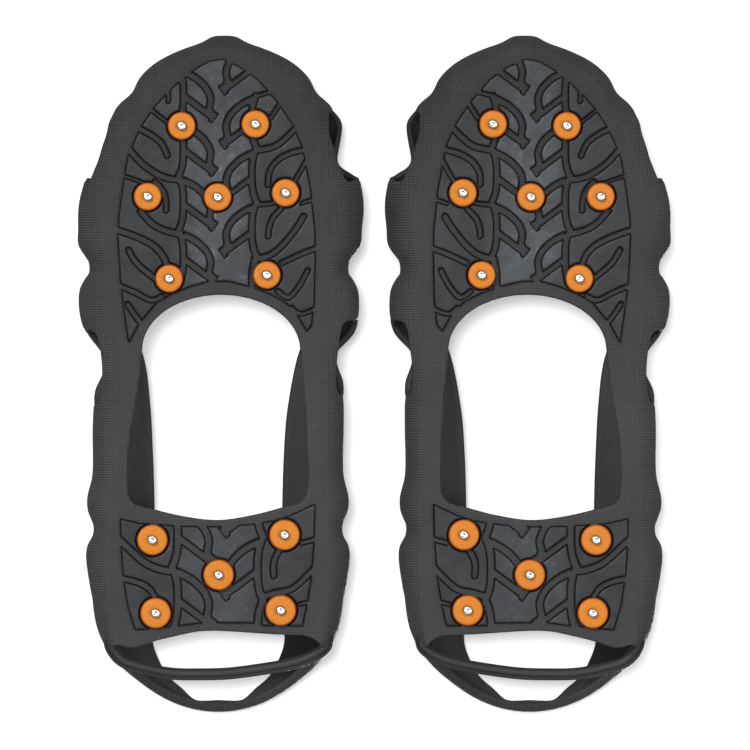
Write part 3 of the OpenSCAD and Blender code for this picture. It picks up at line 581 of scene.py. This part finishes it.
def tread(name, side, pad, grooves, studs, disc, mat):
    """The lugs of one sole as a height field on a square grid with spacing h."""
    h = 0.36
    pad = np.array(pad, float)
    lo, hi = pad.min(0) - 2 * h, pad.max(0) + 2 * h
    gx, gy = np.arange(lo[0], hi[0], h), np.arange(lo[1], hi[1], h)
    x, y = np.meshgrid(gx, gy)
    field = np.where(inside(pad, x, y), 1, -1) * edge_distance(pad, x, y)
    grooves(lambda line, w, round_end=False, k=4: stroke(field, gx, gy, line, w, round_end, k))
    for px, py in studs:
        field = np.minimum(field, np.hypot(x - px, y - py) - (disc / 2 + 0.5))
    # pull the points near an edge onto it, so that every wall runs clean
    dy, dx = np.gradient(field, h)
    size = np.maximum(np.hypot(dx, dy), 0.35)
    near = np.abs(field) < 1.5 * h
    step = np.where(near, np.round(field / h) * h - field, 0)
    x, y = x + step * dx / size ** 2, y + step * dy / size ** 2
    d = field + step
    # the flat, its rounded edge in two steps, and the foot of the wall just inside the sole
    z = np.select([d > 1.5 * h, d > 0.5 * h, d > -0.5 * h], [LUG, LUG + 0.05, LUG + 0.34], LOW + 0.15)
    ny, nx = z.shape
    i = np.arange(ny * nx).reshape(ny, nx)
    f = np.stack([i[:-1, :-1], i[1:, :-1], i[1:, 1:], i[:-1, 1:]], -1).reshape(-1, 4)
    zz = z.ravel()
    f = f[(zz[f] < LOW + 0.1).any(1)]
    used, back = np.unique(f, return_inverse=True)
    pts = np.stack([x.ravel(), y.ravel(), zz], -1)[used]
    # rim is a point's distance from its lug's edge over 1.4 mm, up to 1; the lug material paints a shade
    # line where it is small
    return quads(name, side, pts, back.reshape(-1, 4), [mat], {"rim": np.clip(d.ravel()[used] / 1.4, 0, 1)})


# ---------------------------------------------------------------- turned pieces and the heel band
def turned(name, side, centres, profile, mat):
    """One mesh of equal turned pieces, each with the profile of (radius, height)."""
    seg = 64
    prof = np.array(profile, float)
    a = np.arange(seg) * 2 * math.pi / seg
    pts, f = [], []
    for cx, cy in centres:
        base = len(pts)
        for r, z in prof:
            pts += [[cx + r * math.cos(t), cy + r * math.sin(t), z] for t in a]
        for i in range(len(prof) - 1):
            for j in range(seg):
                k = (j + 1) % seg
                a0, a1 = base + i * seg, base + (i + 1) * seg
                f.append([a0 + j, a0 + k, a1 + k, a1 + j])
    return quads(name, side, pts, f, [mat])


BAND_PATH = [[-44.6, -101.5], [-43.9, -104.6], [-42.4, -110.2], [-36.5, -115.6], [-22, -119.1],
             [-7, -119.9], [6, -119.4], [21, -117.5], [35, -114], [42.4, -109.9], [44.4, -104.6],
             [44.9, -101.5]]
BAND_SECTION = [[2.35, 0.7], [2.42, -0.1], [2.2, -0.95], [1.6, -1.65], [0.7, -2.0], [-0.35, -1.98],
                [-0.95, -1.7], [-1.2, -1.3], [-1.42, -1.32], [-1.75, -1.5], [-2.15, -1.25], [-2.4, -0.6],
                [-2.42, 0.3], [-2.15, 1.2], [-1.4, 1.85], [0, 2.15], [1.4, 1.85], [2.1, 1.3]]


def band(side, mat):
    """The lower band behind the heel: its section carried along its path, thin and tall at both ends."""
    step = 0.9
    path = spaced(smooth(BAND_PATH, 10), step)
    prof = smooth(BAND_SECTION, 3, True)
    n, k = len(path), len(prof)
    tangent = np.gradient(path, axis=0)
    tangent /= np.linalg.norm(tangent, axis=1, keepdims=True)
    left = np.stack([-tangent[:, 1], tangent[:, 0]], -1)
    along = np.arange(n) * step
    run = np.minimum(along, along[::-1])
    grow = 0.35 + 0.65 * np.clip(run / 6.5, 0, 1) ** 0.6
    tall = grow * (1 + 0.75 * np.exp(-((run - 7) / 4.5) ** 2))
    wave = 0.12 * np.sin(along / 9.0) + 0.07 * np.sin(along / 3.7 + 1)
    rise = 12 + 0.9 * np.exp(-(run / 8) ** 2)
    pts = np.concatenate([np.column_stack([
        path[i, 0] + left[i, 0] * (prof[:, 0] * grow[i] + wave[i]),
        path[i, 1] + left[i, 1] * (prof[:, 0] * grow[i] + wave[i]),
        rise[i] + prof[:, 1] * tall[i]]) for i in range(n)])
    f = [[i * k + j, (i + 1) * k + j, (i + 1) * k + (j + 1) % k, i * k + (j + 1) % k]
         for i in range(n - 1) for j in range(k)]
    lids = [list(range(k)), list(range(n * k - 1, (n - 1) * k - 1, -1))]
    return make(f"{side}_heel_band", side, pts, f + lids, [mat])


# ---------------------------------------------------------------- materials
class Nodes:
    """Short names for building one material's node tree."""

    def __init__(self, name):
        self.mat = bpy.data.materials.new(name)
        self.mat.use_nodes = True
        self.tree = self.mat.node_tree
        self.shader = self.tree.nodes["Principled BSDF"]

    def put(self, kind, **inputs):
        n = self.tree.nodes.new(kind)
        for key, val in inputs.items():
            numbered = key[0] == "i" and key[1:].isdigit()
            self.feed(n.inputs[int(key[1:]) if numbered else key], val)
        return n

    def feed(self, socket, val):
        if isinstance(val, bpy.types.NodeSocket):
            self.tree.links.new(val, socket)
        else:
            socket.default_value = val

    def math(self, op, a, b=0.0, c=None, clamp=False):
        n = self.put("ShaderNodeMath", i0=a, i1=b)
        if c is not None:
            self.feed(n.inputs[2], c)
        n.operation, n.use_clamp = op, clamp
        return n.outputs[0]

    def noise(self, vec, scale, detail, rough):
        n = self.put("ShaderNodeTexNoise", Vector=vec, Scale=scale, Detail=detail, Roughness=rough)
        return n.outputs["Fac"]

    def ramp(self, fac, stops):
        n = self.put("ShaderNodeValToRGB", Fac=fac)
        while len(n.color_ramp.elements) < len(stops):
            n.color_ramp.elements.new(0.5)
        for e, (pos, col) in zip(n.color_ramp.elements, stops):
            e.position = pos
            e.color = (*col, 1)
        return n.outputs["Color"]

    def mix(self, fac, a, b):
        n = self.put("ShaderNodeMix")
        n.data_type = "RGBA"
        for s, val in ((n.inputs[0], fac), (n.inputs[6], a), (n.inputs[7], b)):
            if isinstance(val, tuple) and len(val) == 3:
                val = (*val, 1)
            self.feed(s, val)
        return n.outputs[2]

    def range(self, val, a, b, c, d):
        """val carried from a..b to c..d."""
        return self.put("ShaderNodeMapRange", i0=val, i1=a, i2=b, i3=c, i4=d).outputs[0]

    def millimetres(self):
        co = self.put("ShaderNodeTexCoord").outputs["Object"]
        n = self.put("ShaderNodeVectorMath", i0=co)
        n.operation = "SCALE"
        n.inputs["Scale"].default_value = 1000.0
        return n.outputs[0]

    def bumped(self, height, deep, before=None):
        n = self.put("ShaderNodeBump", Height=height, Strength=1.0, Distance=deep)
        if before is not None:
            self.feed(n.inputs["Normal"], before)
        return n.outputs["Normal"]

    def fabric(self, mm, pitch):
        """A fine moulded grid, 0 in its joints and 1 on its pips, laid on each face the way it looks."""
        place = self.put("ShaderNodeSeparateXYZ", i0=mm).outputs
        turns = [self.math("MULTIPLY", place[i], 2 * math.pi / pitch) for i in range(3)]
        s = [self.math("MULTIPLY_ADD", self.math("SINE", x), 0.5, 0.5) for x in turns]
        near = self.put("ShaderNodeVectorMath", i0=self.put("ShaderNodeNewGeometry").outputs["Normal"])
        near.operation = "ABSOLUTE"
        w = self.put("ShaderNodeSeparateXYZ", i0=near.outputs[0]).outputs
        a = self.math("MULTIPLY", self.math("MULTIPLY", s[0], s[1]), w[2])
        b = self.math("MULTIPLY", self.math("MULTIPLY", s[1], s[2]), w[0])
        c = self.math("MULTIPLY", self.math("MULTIPLY", s[0], s[2]), w[1])
        return self.math("ADD", self.math("ADD", a, b), c, clamp=True)


def shade(colour, k):
    return tuple(c * k for c in colour)


def rubber(name, colour, rough, pitch=0.0, deep=0.0, dusty=0.3):
    """Cloudy dull rubber with dust, darker at the toe in painted shade and lighter towards the waist and
    heel in painted light; pitch gives it the moulded grid, with painted highlights on its pips and painted
    shade in its joints.
    """
    k = Nodes(name)
    mm = k.millimetres()
    cloud = k.noise(mm, 0.045, 4, 0.6)
    grain = k.noise(mm, 1.6, 5, 0.65)
    col = k.ramp(cloud, [(0.3, shade(colour, 0.80)), (0.7, shade(colour, 1.24))])
    along = k.put("ShaderNodeSeparateXYZ", i0=mm).outputs[1]
    # painted shade darkens the rubber towards the toe, and painted light brightens it towards the waist and
    # heel
    col = k.mix(k.range(along, 50, 125, 0.0, 0.46), col, shade(colour, 0.2))
    col = k.mix(k.range(along, 60, -30, 0.0, 0.30), col, shade(colour, 1.7))
    specks = k.range(k.noise(mm, 0.85, 6, 0.7), 0.62, 0.72, 0.0, dusty)
    patch = k.range(k.noise(mm, 0.08, 3, 0.5), 0.5, 0.66, 0.0, 1.0)
    col = k.mix(k.math("MULTIPLY", specks, patch), col, (0.2, 0.2, 0.2))
    normal = k.bumped(k.math("MULTIPLY", grain, 0.35), 0.00012)
    if pitch:
        pips = k.fabric(mm, pitch)
        show = k.range(k.noise(mm, 0.11, 4, 0.6), 0.35, 0.6, 0.35, 1.0)
        # painted highlight on the grid's pips and painted shade in its joints
        pip_highlight, joints = k.range(pips, 0.3, 0.8, 0.0, 0.75), k.range(pips, 0.16, 0.02, 0.0, 0.7)
        col = k.mix(k.math("MULTIPLY", pip_highlight, show), col, shade(colour, 2.3))
        col = k.mix(k.math("MULTIPLY", joints, show), col, shade(colour, 0.4))
        normal = k.bumped(pips, deep, normal)
    k.feed(k.shader.inputs["Base Color"], col)
    k.feed(k.shader.inputs["Roughness"], k.range(grain, 0.3, 0.7, rough - 0.07, rough + 0.09))
    k.feed(k.shader.inputs["Normal"], normal)
    k.shader.inputs["Specular IOR Level"].default_value = 0.4
    return k.mat


def lug_rubber(name, colour):
    """Smooth rubber with a painted shade line at each lug's edge, a painted highlight down the sole's
    middle, and real scuffs and wear there.
    """
    k = Nodes(name)
    mm = k.millimetres()
    rim = k.put("ShaderNodeAttribute")
    rim.attribute_name = "rim"
    rim = rim.outputs["Fac"]
    cloud = k.noise(mm, 0.05, 4, 0.55)
    grain = k.noise(mm, 2.4, 5, 0.7)
    scuff = k.put("ShaderNodeMapping", Vector=mm)
    scuff.inputs["Rotation"].default_value = (0, 0, 0.5)
    scuff.inputs["Scale"].default_value = (0.25, 1.6, 1)
    lines = k.range(k.noise(scuff.outputs[0], 0.9, 6, 0.75), 0.56, 0.72, 0.0, 0.35)
    col = k.ramp(cloud, [(0.32, shade(colour, 0.66)), (0.7, shade(colour, 1.45))])
    place = k.put("ShaderNodeSeparateXYZ", i0=mm).outputs
    across = k.math("ABSOLUTE", k.math("SUBTRACT", k.math("ABSOLUTE", place[0]), PITCH / 2))
    patchy = k.range(k.noise(mm, 0.09, 4, 0.6), 0.36, 0.62, 0.35, 1.0)
    # painted highlight: the lugs turn lighter down the sole's middle, less so at the heel and the toe; real
    # scuffs lie in the same strip
    middle = k.math("MULTIPLY", k.range(across, 7, 19, 1.0, 0.0), patchy)
    middle = k.math("MULTIPLY", middle, k.range(place[1], -50, 20, 0.5, 1.0))
    middle = k.math("MULTIPLY", middle, k.range(place[1], 85, 115, 1.0, 0.5))
    col = k.mix(middle, col, shade(colour, 3.4))
    worn = k.range(k.noise(mm, 0.35, 6, 0.75), 0.54, 0.7, 0.0, 0.7)
    col = k.mix(k.math("MULTIPLY", worn, middle), col, (0.21, 0.225, 0.24))
    col = k.mix(lines, col, shade(colour, 2.6))
    # painted shade: a dark line at the foot of each lug's edge, where the groove lies in shade
    col = k.mix(k.range(rim, 0.02, 0.3, 0.94, 0.0), col, shade(colour, 0.1))
    dust = k.range(k.noise(mm, 1.3, 6, 0.7), 0.6, 0.7, 0, 0.5)
    col = k.mix(k.math("MULTIPLY", dust, k.range(cloud, 0.5, 0.62, 0, 1)), col, (0.3, 0.31, 0.32))
    swell = k.noise(mm, 0.12, 2, 0.5)
    normal = k.bumped(k.math("MULTIPLY_ADD", grain, 0.12, swell), 0.00035)
    k.feed(k.shader.inputs["Base Color"], col)
    k.feed(k.shader.inputs["Roughness"], k.range(k.noise(mm, 0.3, 5, 0.6), 0.3, 0.7, 0.34, 0.56))
    k.feed(k.shader.inputs["Normal"], normal)
    k.shader.inputs["Specular IOR Level"].default_value = 0.34
    return k.mat


def plastic(name, colour, edge):
    """Moulded plastic that turns to the darker edge colour higher up, on its rounded side where it goes into
    the sole: painted shade.
    """
    k = Nodes(name)
    mm = k.millimetres()
    z = k.put("ShaderNodeSeparateXYZ", i0=mm).outputs[2]
    mottled = k.noise(mm, 0.9, 4, 0.6)
    fine = k.noise(mm, 5.0, 4, 0.6)
    col = k.ramp(mottled, [(0.3, shade(colour, 0.86)), (0.7, shade(colour, 1.12))])
    # painted shade on the disc's rounded side
    col = k.mix(k.range(z, 2.35, 2.85, 0.0, 1.0), col, edge)
    col = k.mix(k.range(fine, 0.6, 0.72, 0.0, 0.3), col, (0.75, 0.40, 0.12))
    k.feed(k.shader.inputs["Base Color"], col)
    k.feed(k.shader.inputs["Roughness"], k.range(fine, 0.3, 0.7, 0.38, 0.55))
    k.feed(k.shader.inputs["Normal"], k.bumped(k.math("MULTIPLY_ADD", fine, 0.5, mottled), 0.00006))
    k.shader.inputs["Specular IOR Level"].default_value = 0.3
    return k.mat


def steel(name):
    k = Nodes(name)
    mm = k.millimetres()
    worn = k.noise(mm, 1.2, 5, 0.65)
    fine = k.noise(mm, 9.0, 3, 0.6)
    col = k.ramp(worn, [(0.3, (0.62, 0.63, 0.65)), (0.65, (0.86, 0.87, 0.88))])
    k.feed(k.shader.inputs["Base Color"], col)
    k.feed(k.shader.inputs["Roughness"], k.range(worn, 0.3, 0.7, 0.10, 0.26))
    k.feed(k.shader.inputs["Normal"], k.bumped(fine, 0.00002))
    k.shader.inputs["Metallic"].default_value = 1.0
    return k.mat


def backdrop(name, colour, glow=0.0):
    """Pale paper that is seen from its front only."""
    k = Nodes(name)
    k.feed(k.shader.inputs["Base Color"], (*colour, 1))
    k.shader.inputs["Roughness"].default_value = 0.9
    k.shader.inputs["Specular IOR Level"].default_value = 0.1
    if glow:
        k.shader.inputs["Emission Color"].default_value = (1, 1, 1, 1)
        k.shader.inputs["Emission Strength"].default_value = glow
    clear = k.put("ShaderNodeBsdfTransparent")
    both = k.put("ShaderNodeMixShader", i0=k.put("ShaderNodeNewGeometry").outputs["Backfacing"])
    k.feed(both.inputs[1], k.shader.outputs[0])
    k.feed(both.inputs[2], clear.outputs[0])
    k.feed(k.tree.nodes["Material Output"].inputs["Surface"], both.outputs[0])
    return k.mat


# ---------------------------------------------------------------- the pair
shell_mat = rubber("rubber_moulded_grid", (0.043, 0.044, 0.0465), 0.62, 1.02, 0.0003)
# the inside's real smooth rubber, whose darker colour is painted shade
lip_mat = rubber("rubber_smooth_painted_shade", (0.028, 0.029, 0.032), 0.62, 0.0, 0.0, 0.15)
band_mat = rubber("rubber_band", (0.019, 0.019, 0.020), 0.5, 0.0, 0.0, 0.35)
lug_mat = lug_rubber("rubber_lugs", (0.0195, 0.022, 0.0255))
# the carrier's second colour is the painted shade of its rounded side
disc_mat = plastic("carrier_plastic_moulded", (0.69, 0.215, 0.012), (0.40, 0.05, 0.006))
pin_mat = steel("stud_steel_worn")

# turned profiles: the disc is that of the forefoot, and wider with the same hole at the heel
DISC = [[1.86, 2.75], [1.92, 2.42], [2.12, 2.27], [2.6, 2.22], [4.3, 2.2], [4.75, 2.25], [5.08, 2.4],
        [5.32, 2.66], [5.48, 3.0], [5.58, 3.45], [5.62, 4.0], [5.62, 5.6]]
PIN = [[0.0, 0.2], [0.35, 0.15], [0.6, 0.07], [0.78, 0.02], [1.0, 0.0], [1.25, 0.02], [1.45, 0.09],
       [1.62, 0.21], [1.75, 0.4], [1.82, 0.7], [1.84, 1.2], [1.84, 9.15], [2.9, 9.2], [3.15, 9.3],
       [3.2, 9.55], [3.1, 9.78], [2.8, 9.94], [2.0, 10.0], [0.0, 10.0]]
WASHER = [[5.25, 8.4], [5.25, 8.9], [5.2, 9.1], [5.0, 9.2], [1.9, 9.22]]
HOLE = 2.2         # a profile's points within this radius keep it


def widened(profile, k):
    return [[r if r < HOLE else r * k, z] for r, z in profile]


for side in ("left", "right"):
    body = side + "_cleat"
    upper = shell(side, [shell_mat, lip_mat])
    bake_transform(upper)
    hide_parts(*[f"{side}_{n}" for n in (
        "forefoot_sole", "heel_sole", "inner_rail", "outer_rail", "toe_cap", "inner_wall", "outer_wall",
        "inner_collar", "outer_collar", "upper_heel_strap")])
    for name, pad, grooves, studs, size, first, washer in (
            ("forefoot", FORE_PAD, forefoot_grooves, FORE_STUDS, FORE_DISC, 1, 1),
            ("heel", HEEL_PAD, heel_grooves, HEEL_STUDS, HEEL_DISC, 1 + len(FORE_STUDS), 1.09)):
        lugs = tread(f"{side}_{name}_lugs", side, pad, grooves, studs, size, lug_mat)
        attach(lugs, body)
        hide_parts(f"{side}_{name}_tread")
        disc = widened(DISC, size / FORE_DISC)
        for i, centre in enumerate(studs):
            carrier = turned(f"{side}_disc_{first + i}", side, [centre], disc, disc_mat)
            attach(carrier, body)
            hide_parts(f"{side}_carrier_{first + i}")
        pins = turned(f"{side}_{name}_pins", side, studs, PIN, pin_mat)
        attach(pins, body)
        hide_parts(f"{side}_{name}_studs")
        caps = turned(f"{side}_{name}_backing", side, studs, widened(WASHER, washer), disc_mat)
        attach(caps, body)
        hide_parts(f"{side}_{name}_washers")
    strip = band(side, band_mat)
    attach(strip, body)
    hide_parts(side + "_lower_heel_band")


# ---------------------------------------------------------------- paper, lights and camera
def sheet_of_paper(name, z, up, mat):
    """A wide sheet that shows to the camera only and faces up or down."""
    half = 14.0
    corners = [(-half, -half, z), (half, -half, z), (half, half, z), (-half, half, z)]
    mesh = bpy.data.meshes.new(name)
    mesh.from_pydata(corners, [], [(0, 1, 2, 3) if up else (3, 2, 1, 0)])
    mesh.materials.append(mat)
    obj = bpy.data.objects.new(name, mesh)
    bpy.context.scene.collection.objects.link(obj)
    obj.visible_shadow = obj.visible_diffuse = obj.visible_glossy = obj.visible_transmission = False
    return obj


PAPER_Z = 0.0605                 # just past the collar: the photo looks up at the soles
sheet_of_paper("floor", 0.0, True, backdrop("paper_floor", (0.86, 0.86, 0.86)))
paper = sheet_of_paper("paper", PAPER_Z, False, backdrop("paper_back", (0.8, 0.8, 0.8), 0.42))


def sun(name, towards, power, soft, only=None, never=None):
    """A soft studio light; only or never keeps it to one sheet of paper or off it."""
    lamp = bpy.data.lights.new(name, "SUN")
    lamp.energy, lamp.angle = power, math.radians(soft)
    obj = bpy.data.objects.new(name, lamp)
    obj.rotation_mode = "QUATERNION"
    obj.rotation_quaternion = Vector(towards).to_track_quat("-Z", "Y")
    bpy.context.scene.collection.objects.link(obj)
    if only or never:
        group = bpy.data.collections.new(name + "_paper")
        group.objects.link(only or never)
        obj.light_linking.receiver_collection = group
        group.collection_objects[0].light_linking.link_state = "INCLUDE" if only else "EXCLUDE"


sun("key_under", (-0.46, -0.46, 1.0), 1.4, 12, never=paper)
sun("fill_under", (-0.13, -0.12, 1.0), 0.45, 22, never=paper)
sun("side_under", (0.66, 0.10, 1.0), 0.95, 30, never=paper)
sun("paper_light", (-0.05, -0.065, 1.0), 2.3, 8, only=paper)
sun("key_over", (0.10, 0.14, -1.0), 2.4, 14)
world = bpy.data.worlds.new("studio")
bpy.context.scene.world = world
world.use_nodes = True
world.node_tree.nodes["Background"].inputs["Color"].default_value = (1, 1, 1, 1)
world.node_tree.nodes["Background"].inputs["Strength"].default_value = 0.34

AWAY, ACROSS = 7.0, 0.3          # the camera's distance, and the width it sees there, in metres
cam = bpy.data.cameras.new("camera")
cam.sensor_width, cam.lens = 36, 36 * AWAY / ACROSS
cam.clip_start, cam.clip_end = 0.1, 60
eye = bpy.data.objects.new("camera", cam)
eye.location = (-0.0003, 0, -AWAY)
eye.rotation_mode = "QUATERNION"
eye.rotation_quaternion = Vector((0, 0, 1)).to_track_quat("-Z", "Y")
bpy.context.scene.collection.objects.link(eye)
bpy.context.scene.camera = eye
bpy.context.scene.view_settings.view_transform = "Standard"
